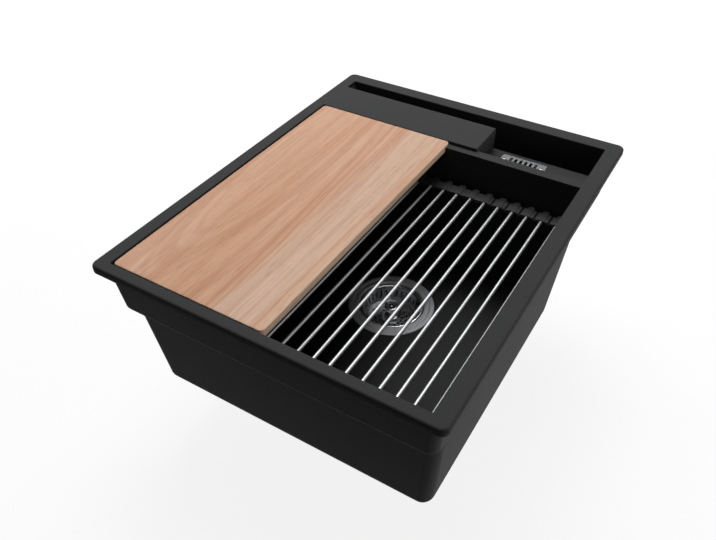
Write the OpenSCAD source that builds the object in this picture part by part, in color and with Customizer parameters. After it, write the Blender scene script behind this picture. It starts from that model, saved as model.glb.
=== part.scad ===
// Inset workstation kitchen sink: a moulded composite basin with a lowered soap tray and rear
// channel, a sliding wooden board, a roll-up rod rack, a basket waste and an overflow.
// Plan sizes run from the rim's front left corner. Depths run down from the rim's top face.
// The origin is the middle of the rim's underside, where it rests on the worktop.

/* [Rim] */
// Width of the rim, left to right
sink_w = 400; // [380:1:440]
// Depth of the rim, front to back
sink_d = 510; // [500:1:540]
// Thickness of the rim above the worktop
rim_t = 9; // [7:0.5:12]
// Plan radius of the rim's outer corners
rim_r = 9; // [6:0.5:14]
// Round on the rim's top outer edge
rim_edge_r = 3; // [1:0.5:4]
// Width of the rim's top face on the left
rim_left = 17; // [16:0.5:22]
// Width of the rim's top face on the right
rim_right = 19.5; // [18:0.5:24]
// Width of the rim's top face at the front
rim_front = 13.5; // [13:0.5:18]
// Width of the rim's top face at the back
rim_back = 21.5; // [20:0.5:26]
// Plan radius of the rim's inner corners
inner_r = 4; // [2:0.5:6]

/* [Upper band] */
// Depth of the upper band's underside below the rim's top
band_d = 59; // [56:1:66]
// Inset of the band from the rim's left edge
band_left = 14; // [11:0.5:14]
// Inset of the band from the rim's right edge
band_right = 8; // [7:0.5:9]
// Inset of the band from the rim's front edge
band_front = 7; // [5:0.5:7.5]
// Inset of the band from the rim's back edge
band_back = 8; // [6:0.5:10]
// Plan radius of the band's corners
band_r = 12; // [9:0.5:14]
// Round under the band
band_edge = 5; // [3:0.5:6]
// Inward lean of the band's faces, per mm of depth
band_draft = 0.1; // [0.06:0.01:0.11]

/* [Bowl] */
// Overall depth of the basin below the rim's top
basin_h = 180; // [160:1:210]
// Thickness of the bowl's floor
floor_t = 8; // [7:0.5:10]
// Thickness of the bowl's walls
wall = 9; // [7:0.5:10]
// Inset of the lower bowl's outside from the rim's left edge
low_left = 27; // [26:0.5:30]
// Inset of the lower bowl's outside from the rim's right edge
low_right = 12.5; // [12:0.5:14]
// Step between the band and the lower bowl on the right
right_lip = 0.5; // [0.4:0.1:1]
// Inset of the lower bowl's outside from the rim's front edge
low_front = 20; // [19:0.5:24]
// Inset of the lower bowl's outside from the rim's back edge
low_back = 130; // [127:1:136]
// Inward lean of the lower bowl's side and back faces, per mm of depth
low_draft = 0.083; // [0.06:0.001:0.1]
// Inward lean of the lower bowl's front face, per mm of depth
front_draft = 0.118; // [0.08:0.001:0.13]
// Round between the bowl's walls and its floor
bowl_round = 14; // [10:1:18]

/* [Ledges] */
// Depth of the ledge that carries the rack
rack_ledge_d = 52; // [49:0.5:52]
// Width of the board's ledge at the front
front_ledge_w = 4.5; // [3.5:0.5:6]
// Width of the board's ledge on the left
left_ledge_w = 7; // [6:0.5:9]
// Width of the small step on the right between the upper and the lower bowl
right_step = 1; // [0.6:0.1:1.5]
// Depth of the divider's top below the rim's top
divider_d = 4; // [3:0.5:5]
// Thickness of the divider between the bowl and the soap tray
divider_t = 13; // [11:0.5:15]

/* [Deck, tray and channel] */
// Distance from the rim's front edge to the deck's front face
deck_front = 407; // [405:1:410]
// Depth of the deck from front to back
deck_d = 61; // [56:1:64]
// Distance from the rim's left edge to the deck's right end
deck_end = 244; // [232:1:252]
// Thickness of the deck
deck_t = 11; // [10:0.5:13]
// Depth of the soap tray's floor
tray_d = 30; // [26:1:32]
// Depth of the rear channel's floor
channel_d = 49; // [46:1:51]
// Inset of the channel's deep part at its left end
channel_step = 8; // [7:0.5:12]
// Thickness of the walls and floors around the tray and the channel
shelf_wall = 6; // [5:0.5:6]
// Radius of the pre-formed tap hole under the deck
tap_hole_r = 17.5; // [16:0.5:18]
// Skin left above the pre-formed tap hole
tap_skin = 4; // [3:0.5:5]

/* [Board] */
// Width of the board, left to right
board_w = 187.6; // [160:0.2:200]
// Thickness of the board
board_t = 10; // [9:0.5:10]
// Gap between the board and the rim on the left
board_gap_side = 2.4; // [1:0.2:4]
// Gap between the board and the rim at the front, and the deck at the back
board_gap_end = 1; // [0.6:0.1:2]
// Plan radius of the board's corners
board_r = 5; // [3:0.5:8]
// Bevel along the board's edges
board_bevel = 1.2; // [0.5:0.1:1.5]

/* [Rack] */
// Number of rods in the rack
rod_count = 13; // [12:1:14]
// Number of rods, from the right, that roll up
curl_count = 5; // [5:1:5]
// Distance between the rods
rod_pitch = 18.4; // [18:0.05:19]
// Radius of the rods
rod_r = 2; // [1.5:0.1:2.4]
// Distance from the rim's right edge to the last rod
rack_right = 32.5; // [31.5:0.5:38]
// Gap between the rack's ends and the bowl's front and back walls
rack_gap = 0.8; // [0.5:0.1:1.5]
// Length of the caps on the rods' ends
cap_l = 22; // [20:0.5:24]
// Length of the caps' round noses beyond the web
nose_l = 5.5; // [4.5:0.5:6.5]
// Width of the caps
cap_w = 9; // [8:0.5:10]
// Thickness of the caps
cap_t = 6; // [5.5:0.1:6.4]
// Thickness of the web between the caps
web_t = 4.6; // [3:0.2:5]
// Angle that each web bends through as the rack rolls up
curl_deg = 58; // [40:1:59]

/* [Waste] */
// Distance from the rim's left edge to the waste
waste_x = 205; // [195:1:210]
// Distance from the rim's front edge to the waste
waste_y = 270; // [240:1:285]
// Radius of the hole in the bowl's floor
waste_hole_r = 45; // [44.5:0.1:46]
// Radius of the waste's flange
flange_r = 56; // [54:0.5:57]
// Thickness of the waste's flange
flange_t = 1.6; // [1.2:0.1:2]
// Radius of the inside of the waste's dish
dish_r = 41.3; // [40.5:0.1:42]
// Thickness of the dish's sheet
dish_t = 1.2; // [1:0.1:1.5]
// Depth of the dish below the flange
dish_d = 24; // [22:0.5:26]
// Thickness of the rubber gasket under the flange
gasket_t = 1; // [0.8:0.1:1.5]
// Thickness of the rubber gasket under the bowl
seal_t = 2; // [1.5:0.1:3]
// Height of the plastic body's cup under the bowl
cup_h = 30; // [28:0.5:36]
// Height of the plastic body's funnel
funnel_h = 16; // [12:0.5:20]
// Thickness of the plastic body's walls
plastic_t = 3; // [2.5:0.1:4]
// Radius of the outlet's male thread
outlet_r = 23.9; // [20:0.1:24]
// Length of the outlet's male thread
outlet_l = 28; // [20:0.5:34]
// Radius of the hose tails
tail_r = 10; // [9:0.1:10.5]
// Length of the hose tails
tail_l = 24; // [18:0.5:28]

/* [Basket] */
// Clearance between the basket and the dish
basket_gap = 0.4; // [0.3:0.05:0.8]
// Thickness of the basket's sheet
basket_t = 1; // [0.8:0.1:1.2]
// Number of holes in each ring of the basket's floor
basket_holes = 16; // [12:1:18]
// Radius of the holes in the basket's floor
basket_hole_r = 1.7; // [1.2:0.1:1.9]
// Radius of the basket's knob
knob_r = 9; // [7:0.5:11]

/* [Overflow] */
// Distance from the deck's right end to the grille's middle
grille_x = 47; // [38:1:60]
// Distance from the channel to the grille's middle
grille_y = 16.5; // [16:0.5:19]
// Width of the grille
grille_w = 60; // [56:1:64]
// Depth of the grille, front to back
grille_d = 23; // [20:0.5:23]
// Thickness of the grille
grille_t = 1.2; // [1:0.1:1.5]
// Number of slots in the grille
grille_slots = 6; // [4:1:7]
// Radius of the grille's screws
screw_r = 1.5; // [1.2:0.1:1.8]

/* [Hidden] */
$fn = 64;

hull_fn = 32;       // facets on a circle where the shape is blended
sheet = 0.01;       // thickness of a slice that only guides a blend
over = 1;           // how far a cut runs past the face that it opens
rest_gap = 0.3;     // gap between a loose piece and what carries it
granite = [0.05, 0.05, 0.053];
steel = [0.72, 0.73, 0.74];
silicone = [0.13, 0.12, 0.14];
rubber = [0.05, 0.05, 0.05];
plastic = [0.09, 0.09, 0.1];
wood = [0.72, 0.53, 0.4];

// Plan and height in the part's frame
function at_x(x) = x - sink_w / 2;
function at_y(y) = y - sink_d / 2;
function at_z(depth) = rim_t - depth;

// Inside edges of the rim
in_left = rim_left;
in_right = sink_w - rim_right;
in_front = rim_front;
in_back = sink_d - rim_back;

// Upper bowl, from the board's ledge down to the rack's ledge
divider_reach = 2.5;
up_left = in_left + left_ledge_w;
up_front = in_front + front_ledge_w;
divider_back = deck_front + divider_reach;
up_back = divider_back - divider_t;
board_ledge_d = board_t + rest_gap;
up_lean = rack_ledge_d * low_draft;

// Outside of the lower bowl where it leaves the band
bowl_corner_r = inner_r + 2;
out_left = low_left;
out_right = sink_w - low_right;
out_front = low_front;
out_back = sink_d - low_back;
low_h = basin_h - band_d;
floor_d = basin_h - floor_t;

// The shelf behind the bowl
deck_back = deck_front + deck_d;

// Distance between the board's rebate and the divider
rebate_gap = 2.5;

// Rack
rack_mid_d = rack_ledge_d - rest_gap - cap_t / 2;
last_rod_x = sink_w - rack_right;
flat_count = rod_count - curl_count;
cap_r = cap_w / 2;
rack_front = up_front + up_lean + rack_gap;
rack_back = up_back - up_lean - rack_gap;
rod_front = rack_front + cap_r;
rod_back = rack_back - cap_r;
web_short = 0.5;
web_l = cap_l - nose_l - web_short;
web_bite = 0.2;
web_gap = 0.15;
curl_spare = 3;
curl_relief = (web_t / 2) * tan(curl_deg / 2 + curl_spare);
function rod_x(i) = last_rod_x - (rod_count - i) * rod_pitch;

// Waste
flange_under_d = floor_d + flange_t;
recess_d = flange_under_d + gasket_t;
recess_gap = 0.8;
flange_edge = 0.8;
dish_edge = 1.5;
ring_inset = 1;
dish_floor_d = flange_under_d + dish_d;
cup_top_d = basin_h + seal_t;
cup_in_r = waste_hole_r + ring_inset;
cup_out_r = cup_in_r + plastic_t;
funnel_top_d = cup_top_d + cup_h;
outlet_top_d = funnel_top_d + funnel_h;
outlet_end_d = outlet_top_d + outlet_l;
thread_t = 4;
outlet_in_r = outlet_r - thread_t;
hub_r = 9;
body_hub_r = 8;
hub_top_d = dish_floor_d + dish_t;
hub_l = 14;
hub_end_d = hub_top_d + hub_l;
rib_t = 3;
lip_t = 4;
arm_w = 5;
throat_r = 27;
bolt_r = 3;
bolt_head_r = 6;
bolt_head_t = 3;
bolt_fit = 0.05;
bolt_gap = 0.3;
bolt_short = 1;
driver_w = 1.4;
driver_d = 1.2;
tail_wall = 2.2;
tail_bore_r = tail_r - tail_wall;
tail_step = 1.5;
tail_gap = 0.5;
tail_d = cup_top_d + lip_t + tail_gap + tail_step + tail_r;
tail_root = cup_in_r + plastic_t / 2;
tail_clear = 6;
tail_reach = flange_r + tail_clear;

// Basket
basket_r = dish_r - basket_gap;
basket_taper = 6;
basket_floor_r = basket_r - basket_taper;
basket_lip = 3;
basket_round = 2;
seal_h = 1.2;
seal_start = 0.8;
seal_w = 4.6;
basket_floor_d = dish_floor_d - rest_gap - seal_h;
basket_low = 1.4;
basket_top_d = floor_d + basket_low;
dome_slope = 2;
dome_gap = 1.4;
dome_r = bolt_head_r + dome_slope + 2 * basket_t;
dome_h = bolt_head_t + dome_gap;
hole_start = 5;
hole_ring = 5.5;
post_r = 3.5;
post_short = 3;
post_top_d = basket_top_d + post_short;
knob_t = 5;
knob_cap = 2;
knob_edge = 1;
knob_gap = 0.05;

// Overflow
hole_x = deck_end + grille_x;
hole_y = deck_back - grille_y;
soft_r = 3;
screw_gap = 0.5;
grille_gap = 0.3;
grille_pad = 3;
slot_w = 3;
slot_margin = 4;
tray_under_d = tray_d + shelf_wall + grille_pad;
overflow_slot_w = 34;
overflow_slot_d = 13;
overflow_lip = 1;
overflow_wall = 2.5;
screw_margin = 5;
screw_x = grille_w / 2 - screw_margin;
screw_head_r = 3;
screw_head_t = 1;
overflow_ear_w = grille_w - 1;
overflow_ear_d = 2 * tail_r + 2;
overflow_land = 3;
overflow_shift = (overflow_ear_d - overflow_slot_d) / 2 - overflow_land;
overflow_seal_t = 1;
overflow_ear_t = 3;
overflow_box_h = 12;

// A rectangle with round corners, from one corner of the plan to the other
module plate_outline(x0, x1, y0, y1, r) {
    translate([at_x(x0) + r, at_y(y0)]) square([x1 - x0 - 2 * r, y1 - y0]);
    translate([at_x(x0), at_y(y0) + r]) square([x1 - x0, y1 - y0 - 2 * r]);
    for (x = [at_x(x0) + r, at_x(x1) - r], y = [at_y(y0) + r, at_y(y1) - r])
        translate([x, y]) circle(r);
}

// A block with upright round corners between two depths
module block(x0, x1, y0, y1, r, top_d, bottom_d) {
    translate([0, 0, at_z(bottom_d)])
        linear_extrude(bottom_d - top_d) plate_outline(x0, x1, y0, y1, r);
}

// The corner posts of such a block below one depth, for blending
module slice(x0, x1, y0, y1, r, depth, t = sheet) {
    for (x = [x0 + r, x1 - r], y = [y0 + r, y1 - r])
        translate([at_x(x), at_y(y), at_z(depth + t)]) cylinder(r = r, h = t, $fn = hull_fn);
}

// Four balls in the corners of a floor
module corner_balls(x0, x1, y0, y1, r, floor_depth) {
    for (x = [x0 + r, x1 - r], y = [y0 + r, y1 - r])
        translate([at_x(x), at_y(y), at_z(floor_depth) + r]) sphere(r, $fn = hull_fn);
}

// A slot with round ends along X, centred
module slot_outline(length, width) {
    square([length - width, width], center = true);
    for (side = [-1, 1]) translate([side * (length - width) / 2, 0]) circle(width / 2);
}

// Rim plate with its rounded top edge
module rim_plate() {
    hull() {
        slice(0, sink_w, 0, sink_d, rim_r, rim_edge_r, rim_t - rim_edge_r);
        for (a = [15:15:90]) {
            off = rim_edge_r * (1 - cos(a));
            slice(off, sink_w - off, off, sink_d - off, rim_r - off, rim_edge_r * (1 - sin(a)));
        }
    }
}

// Outside of the upper band, leaning in and rounded underneath
module band_outside() {
    straight_d = band_d - band_edge;
    lean = (straight_d - rim_t) * band_draft;
    low_x = sink_w - low_right + right_lip;
    hull() {
        slice(band_left, sink_w - band_right, band_front, sink_d - band_back,
              band_r, rim_t - over);
        for (a = [0, 45, 90]) {
            off = lean + band_edge * (1 - cos(a));
            slice(band_left + off, low_x, band_front + off, sink_d - band_back - off,
                  band_r, straight_d + band_edge * sin(a) - sheet);
        }
    }
}

// Outside of the lower bowl
module low_outside() {
    side = low_h * low_draft;
    hull() {
        slice(out_left, out_right, out_front, out_back, bowl_round, band_d - band_edge - over);
        corner_balls(out_left + side, out_right - side, out_front + low_h * front_draft,
                     out_back - side, bowl_round, basin_h);
    }
}

// Space inside the bowl, above and below the rack's ledge
module bowl_space() {
    low_top_d = rack_ledge_d - over;
    low_side = (floor_d - low_top_d) * low_draft;
    low_x = in_right - up_lean - right_step;
    hull() {
        slice(up_left, in_right, up_front, up_back, bowl_corner_r, -over);
        slice(up_left + up_lean, in_right - up_lean, up_front + up_lean, up_back - up_lean,
              bowl_corner_r, rack_ledge_d - sheet);
    }
    hull() {
        slice(out_left + wall, low_x, out_front + wall, out_back - wall, bowl_round, low_top_d);
        corner_balls(out_left + wall + low_side, low_x - low_side,
                     out_front + wall + (floor_d - low_top_d) * front_draft,
                     out_back - wall - low_side, bowl_round, floor_d);
    }
}

// The board's recess, the tray and the rear channel
module shelf_spaces() {
    block(in_left, in_right, in_front, up_back - over, inner_r, -over, board_ledge_d);
    block(in_left, in_right, in_front, deck_front, inner_r, -over, divider_d);
    block(deck_end, in_right, up_back, in_back, inner_r, -over, divider_d);
    block(deck_end, in_right, divider_back, in_back, inner_r, -over, tray_d);
    block(in_left, in_right, deck_back, in_back, inner_r, -over, rim_t);
    block(in_left + channel_step, in_right, deck_back, in_back, inner_r, -over, channel_d);
}

// Hollows under the deck and the tray
module underside_spaces() {
    lean = (band_d - rim_t) * band_draft;
    back = deck_back - shelf_wall;
    left = band_left + lean + shelf_wall;
    right = sink_w - band_right - lean - shelf_wall;
    block(left, deck_end - shelf_wall, up_back + wall, back, inner_r, deck_t, band_d + over);
    block(deck_end + shelf_wall, right, divider_back + shelf_wall, back, inner_r,
          tray_under_d, band_d + over);
}

// Holes for the waste, the overflow and the tap
module basin_holes() {
    translate([at_x(waste_x), at_y(waste_y), 0]) {
        translate([0, 0, at_z(basin_h) - over]) cylinder(r = waste_hole_r, h = floor_t + 2 * over);
        translate([0, 0, at_z(recess_d)]) cylinder(r = flange_r + recess_gap, h = recess_d);
    }
    translate([at_x(hole_x), at_y(hole_y), 0]) {
        translate([0, 0, at_z(tray_under_d) - over])
            linear_extrude(tray_under_d) slot_outline(overflow_slot_w, overflow_slot_d);
        for (side = [-1, 1]) translate([side * screw_x, 0, at_z(tray_under_d) - over])
            cylinder(r = screw_r + screw_gap, h = tray_under_d, $fn = 32);
        translate([0, 0, at_z(tray_d) - grille_t])
            linear_extrude(tray_d) soft_rectangle(grille_w + 2 * grille_gap, grille_d + 2 * grille_gap);
    }
    translate([at_x((in_left + deck_end) / 2), at_y((deck_front + deck_back) / 2),
               at_z(deck_t) - over])
        cylinder(r = tap_hole_r, h = deck_t - tap_skin + over);
}

// A centred rectangle with small round corners
module soft_rectangle(w, d) {
    r = soft_r;
    square([w - 2 * r, d], center = true);
    square([w, d - 2 * r], center = true);
    for (x = [-1, 1], y = [-1, 1]) translate([x * (w / 2 - r), y * (d / 2 - r)]) circle(r, $fn = 32);
}

// Moulded basin with its rim, ledges, tray and channel
module basin() {
    color(granite) difference() {
        union() {
            rim_plate();
            band_outside();
            low_outside();
        }
        bowl_space();
        shelf_spaces();
        underside_spaces();
        basin_holes();
    }
}

// Solid wooden board, rebated at the back to lie flush over the divider
module cutting_board() {
    left = in_left + board_gap_side;
    right = left + board_w;
    front = in_front + board_gap_end;
    back = deck_front - board_gap_end;
    b = board_bevel;
    color(wood) difference() {
        union() {
            block(left, right, front, back, board_r, b, board_t - b);
            hull() {
                slice(left, right, front, back, board_r, b);
                slice(left + b, right - b, front + b, back - b, board_r - b / 2, 0);
            }
            hull() {
                slice(left, right, front, back, board_r, board_t - b - sheet);
                slice(left + b, right - b, front + b, back - b, board_r - b / 2, board_t - sheet);
            }
        }
        translate([at_x(left) - over, at_y(up_back) - rebate_gap, at_z(board_t) - over])
            cube([board_w + 2 * over, 2 * divider_t, board_t - divider_d + rest_gap + over]);
    }
}

// One stainless rod of the rack
module rack_rod(i) {
    color(steel) translate([at_x(rod_x(i)), at_y(rod_front), at_z(rack_mid_d)])
        rotate([-90, 0, 0]) cylinder(r = rod_r, h = rod_back - rod_front, $fn = 32);
}

// Outline of one cap, its round nose towards -Y, with the rod on x = 0
module cap_outline() {
    translate([-cap_r, cap_r]) square([cap_w, cap_l - cap_r]);
    translate([0, cap_r]) circle(cap_r, $fn = 32);
}

// Half a web beside a cap, cut back above the bend so that the web can fold
module half_web(side) {
    root = cap_r - web_bite;
    reach = rod_pitch / 2 - web_gap;
    translate([0, nose_l + web_l, 0]) rotate([90, 0, 0]) linear_extrude(web_l)
        polygon([[side * root, -web_t / 2], [side * reach, -web_t / 2],
                 [side * reach, 0], [side * (reach - curl_relief), web_t / 2],
                 [side * root, web_t / 2]]);
}

// A cap at the front end of a rod, with the half webs that it carries
module end_cap(webs) {
    difference() {
        union() {
            translate([0, 0, -cap_t / 2]) linear_extrude(cap_t) cap_outline();
            for (side = webs) half_web(side);
        }
        translate([0, cap_r, 0]) rotate([-90, 0, 0]) cylinder(r = rod_r, h = cap_l, $fn = 32);
    }
}

// The same cap placed at the front or the back of the rack
module placed_cap(i, back) {
    webs = i < flat_count ? [] : i == flat_count ? [1] : i == rod_count ? [-1] : [-1, 1];
    translate([at_x(rod_x(i)), at_y(back ? rack_back : rack_front), at_z(rack_mid_d)])
        mirror([0, back ? 1 : 0, 0]) end_cap(webs);
}

// A whole web between two caps of the flat part of the strip
module flat_web(i, back) {
    translate([at_x(rod_x(i)), at_y(back ? rack_back : rack_front), at_z(rack_mid_d)])
        mirror([0, back ? 1 : 0, 0]) translate([cap_r - web_bite, nose_l, -web_t / 2])
            cube([rod_pitch - cap_w + 2 * web_bite, web_l, web_t]);
}

// Silicone strip along the flat part of the rack
module rack_strip(back) {
    color(silicone) {
        for (i = [1:flat_count]) placed_cap(i, back);
        for (i = [1:flat_count - 1]) flat_web(i, back);
    }
}

// Silicone cap of one link that rolls up
module link_cap(i, back) {
    color(silicone) placed_cap(flat_count + i, back);
}

// Stainless flange and dish of the waste, with a spoked floor
module waste_flange() {
    dish_out_r = dish_r + dish_t;
    color(steel) translate([at_x(waste_x), at_y(waste_y), 0]) difference() {
        union() {
            rotate_extrude() polygon([
                [dish_r, at_z(floor_d) - flange_edge], [dish_r + dish_edge, at_z(floor_d)],
                [flange_r - flange_edge, at_z(floor_d)], [flange_r, at_z(floor_d) - flange_edge],
                [flange_r, at_z(flange_under_d)], [dish_out_r, at_z(flange_under_d)],
                [dish_out_r, at_z(dish_floor_d + dish_t)], [throat_r, at_z(dish_floor_d + dish_t)],
                [throat_r, at_z(dish_floor_d)], [dish_r, at_z(dish_floor_d)]]);
            translate([0, 0, at_z(dish_floor_d + dish_t)]) {
                cylinder(r = hub_r, h = dish_t);
                for (a = [0:60:300]) rotate(a) translate([hub_r - over, -arm_w / 2, 0])
                    cube([throat_r - hub_r + 2 * over, arm_w, dish_t]);
            }
        }
        translate([0, 0, at_z(dish_floor_d + dish_t) - over])
            cylinder(r = bolt_r + bolt_gap, h = dish_t + 2 * over, $fn = 32);
    }
}

// A flat ring about the waste's centre line
module waste_ring(inner, outer, top_d, t) {
    translate([at_x(waste_x), at_y(waste_y), at_z(top_d + t)]) difference() {
        cylinder(r = outer, h = t);
        translate([0, 0, -over]) cylinder(r = inner, h = t + 2 * over);
    }
}

// Rubber gasket between the flange and the recess in the bowl's floor
module flange_gasket() {
    color(rubber) waste_ring(cup_in_r, flange_r - ring_inset, flange_under_d, gasket_t);
}

// Rubber seal between the bowl's underside and the plastic body
module bowl_seal() {
    color(rubber) waste_ring(cup_in_r, flange_r - ring_inset, basin_h, seal_t);
}

// Plastic body under the bowl: cup, funnel, threaded outlet, hub and hose tail
module waste_body() {
    lip_d = cup_top_d + lip_t;
    color(plastic) translate([at_x(waste_x), at_y(waste_y), 0]) difference() {
        union() {
            rotate_extrude() polygon([
                [cup_in_r, at_z(cup_top_d)], [flange_r, at_z(cup_top_d)],
                [flange_r, at_z(lip_d)], [cup_out_r, at_z(lip_d)],
                [cup_out_r, at_z(funnel_top_d)], [outlet_r, at_z(outlet_top_d)],
                [outlet_r, at_z(outlet_end_d)], [outlet_in_r, at_z(outlet_end_d)],
                [outlet_in_r, at_z(outlet_top_d)], [cup_in_r, at_z(funnel_top_d)]]);
            translate([0, 0, at_z(hub_end_d)]) cylinder(r = body_hub_r, h = hub_l);
            for (a = [90, 210, 330]) rotate(a)
                translate([body_hub_r - over, -rib_t / 2, at_z(hub_end_d)])
                    cube([tail_root - body_hub_r + over, rib_t, hub_l - rib_t]);
            translate([0, tail_root, at_z(tail_d)]) rotate([-90, 0, 0]) {
                cylinder(r = tail_r + tail_step, h = tail_reach - tail_root);
                cylinder(r = tail_r, h = tail_reach - tail_root + tail_l);
            }
        }
        translate([0, 0, at_z(hub_end_d) - over])
            cylinder(r = bolt_r + bolt_fit, h = hub_l + 2 * over, $fn = 32);
        translate([0, cup_in_r - plastic_t, at_z(tail_d)]) rotate([-90, 0, 0])
            cylinder(r = tail_bore_r, h = tail_reach + tail_l);
    }
}

// Screw that pulls the plastic body up to the dish
module fixing_screw() {
    color(steel) translate([at_x(waste_x), at_y(waste_y), 0]) difference() {
        union() {
            translate([0, 0, at_z(dish_floor_d)]) cylinder(r = bolt_head_r, h = bolt_head_t);
            translate([0, 0, at_z(hub_end_d) + bolt_short])
                cylinder(r = bolt_r, h = hub_l + dish_t, $fn = 32);
        }
        translate([-bolt_head_r, -driver_w / 2, at_z(dish_floor_d) + bolt_head_t - driver_d])
            cube([2 * bolt_head_r, driver_w, driver_d + over]);
    }
}

// Basket that catches scraps, with a rolled lip and a perforated floor
module basket() {
    top = at_z(basket_top_d);
    base = at_z(basket_floor_d);
    t = basket_t;
    color(steel) translate([at_x(waste_x), at_y(waste_y), 0]) difference() {
        rotate_extrude() polygon([
            [0, base + dome_h], [dome_r - dome_slope, base + dome_h], [dome_r, base],
            [basket_floor_r - basket_round, base], [basket_floor_r, base + basket_round],
            [basket_r - basket_lip, top - t], [basket_r, top - t], [basket_r, top],
            [basket_r - basket_lip - t, top], [basket_floor_r - t, base + basket_round + t],
            [basket_floor_r - basket_round - t, base + t], [dome_r + t, base + t],
            [dome_r - dome_slope + t, base + dome_h + t], [0, base + dome_h + t]]);
        for (ring = [0:2], k = [0:basket_holes - 1])
            rotate((k + ring / 2) * 360 / basket_holes)
                translate([dome_r + hole_start + ring * hole_ring, 0, base - over])
                    cylinder(r = basket_hole_r, h = t + 2 * over, $fn = 16);
    }
}

// Rubber ring under the basket that closes the dish
module basket_seal() {
    inner = throat_r + seal_start;
    color(rubber) waste_ring(inner, inner + seal_w, basket_floor_d, seal_h);
}

// Post that stands on the basket's floor
module basket_post() {
    color(steel) translate([at_x(waste_x), at_y(waste_y),
                            at_z(basket_floor_d) + dome_h + basket_t])
        cylinder(r = post_r, h = basket_floor_d - dome_h - basket_t - post_top_d, $fn = 32);
}

// Knob that turns on the post
module basket_knob() {
    top = at_z(post_top_d) + knob_cap;
    low = top - knob_t;
    e = knob_edge;
    color(steel) translate([at_x(waste_x), at_y(waste_y), 0])
        rotate_extrude() polygon([
            [post_r + knob_gap, low], [knob_r - e, low], [knob_r, low + e],
            [knob_r, top - e], [knob_r - e, top], [0, top],
            [0, at_z(post_top_d) + knob_gap], [post_r + knob_gap, at_z(post_top_d) + knob_gap]]);
}

// Stainless grille over the overflow
module overflow_grille() {
    slot_pitch = (2 * screw_x - 2 * screw_margin) / grille_slots;
    color(steel) translate([at_x(hole_x), at_y(hole_y), at_z(tray_d) - grille_t]) difference() {
        linear_extrude(grille_t) soft_rectangle(grille_w, grille_d);
        for (k = [0:grille_slots - 1])
            translate([(k - (grille_slots - 1) / 2) * slot_pitch, 0, -over])
                linear_extrude(grille_t + 2 * over) rotate(90)
                    slot_outline(grille_d - 2 * slot_margin, slot_w);
        for (side = [-1, 1]) translate([side * screw_x, 0, -over])
            cylinder(r = screw_r + screw_gap / 2, h = grille_t + 2 * over, $fn = 32);
    }
}

// Rubber seal under the tray's floor
module overflow_seal() {
    color(rubber) translate([at_x(hole_x), at_y(hole_y), at_z(tray_under_d + overflow_seal_t)])
        linear_extrude(overflow_seal_t) difference() {
            translate([0, -overflow_shift]) soft_rectangle(overflow_ear_w, overflow_ear_d);
            slot_outline(overflow_slot_w, overflow_slot_d);
            for (side = [-1, 1]) translate([side * screw_x, 0])
                circle(screw_r + screw_gap, $fn = 32);
        }
}

// Plastic overflow outlet under the tray, with a hose tail pointing down
module overflow_body() {
    ear_d = tray_under_d + overflow_seal_t;
    box_d = ear_d + overflow_ear_t;
    tail_top_d = box_d + overflow_box_h;
    color(plastic) translate([at_x(hole_x), at_y(hole_y), 0]) difference() {
        union() {
            translate([0, -overflow_shift, at_z(box_d)]) linear_extrude(overflow_ear_t)
                soft_rectangle(overflow_ear_w, overflow_ear_d);
            translate([0, -overflow_shift, at_z(tail_top_d)]) linear_extrude(overflow_box_h + over)
                slot_outline(overflow_slot_w + 2 * overflow_wall, overflow_ear_d);
            translate([0, -overflow_shift, at_z(tail_top_d + tail_l)])
                cylinder(r = tail_r, h = tail_l + over);
        }
        translate([0, 0, at_z(tail_top_d) + tail_wall]) linear_extrude(box_d)
            slot_outline(overflow_slot_w, overflow_slot_d - overflow_lip);
        translate([0, -overflow_shift, at_z(tail_top_d + tail_l) - over])
            cylinder(r = tail_bore_r, h = tail_l + 2 * tail_wall);
        for (side = [-1, 1]) translate([side * screw_x, 0, at_z(box_d) - over])
            cylinder(r = screw_r + bolt_fit, h = overflow_ear_t + 2 * over, $fn = 32);
    }
}

// Round-headed screw through the grille, left or right
module grille_screw(side) {
    length = tray_under_d + overflow_seal_t + overflow_ear_t - tray_d - grille_t;
    color(steel) translate([at_x(hole_x) + side * screw_x, at_y(hole_y), at_z(tray_d)]) {
        cylinder(r = screw_head_r, h = screw_head_t, $fn = 32);
        translate([0, 0, -length]) cylinder(r = screw_r, h = length, $fn = 32);
    }
}

basin();
cutting_board();
for (i = [1:rod_count])
    rack_rod(i);
rack_strip(false);  // rack_strip_front
rack_strip(true);  // rack_strip_rear
for (i = [1:curl_count]) {
    link_cap(i, false);
    link_cap(i, true);
}
waste_flange();
flange_gasket();
bowl_seal();
waste_body();
fixing_screw();
basket();
basket_seal();
basket_post();
basket_knob();
overflow_grille();
overflow_seal();
overflow_body();
grille_screw(-1);  // grille_screw_left
grille_screw(1);  // grille_screw_right
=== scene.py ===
import math

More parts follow.
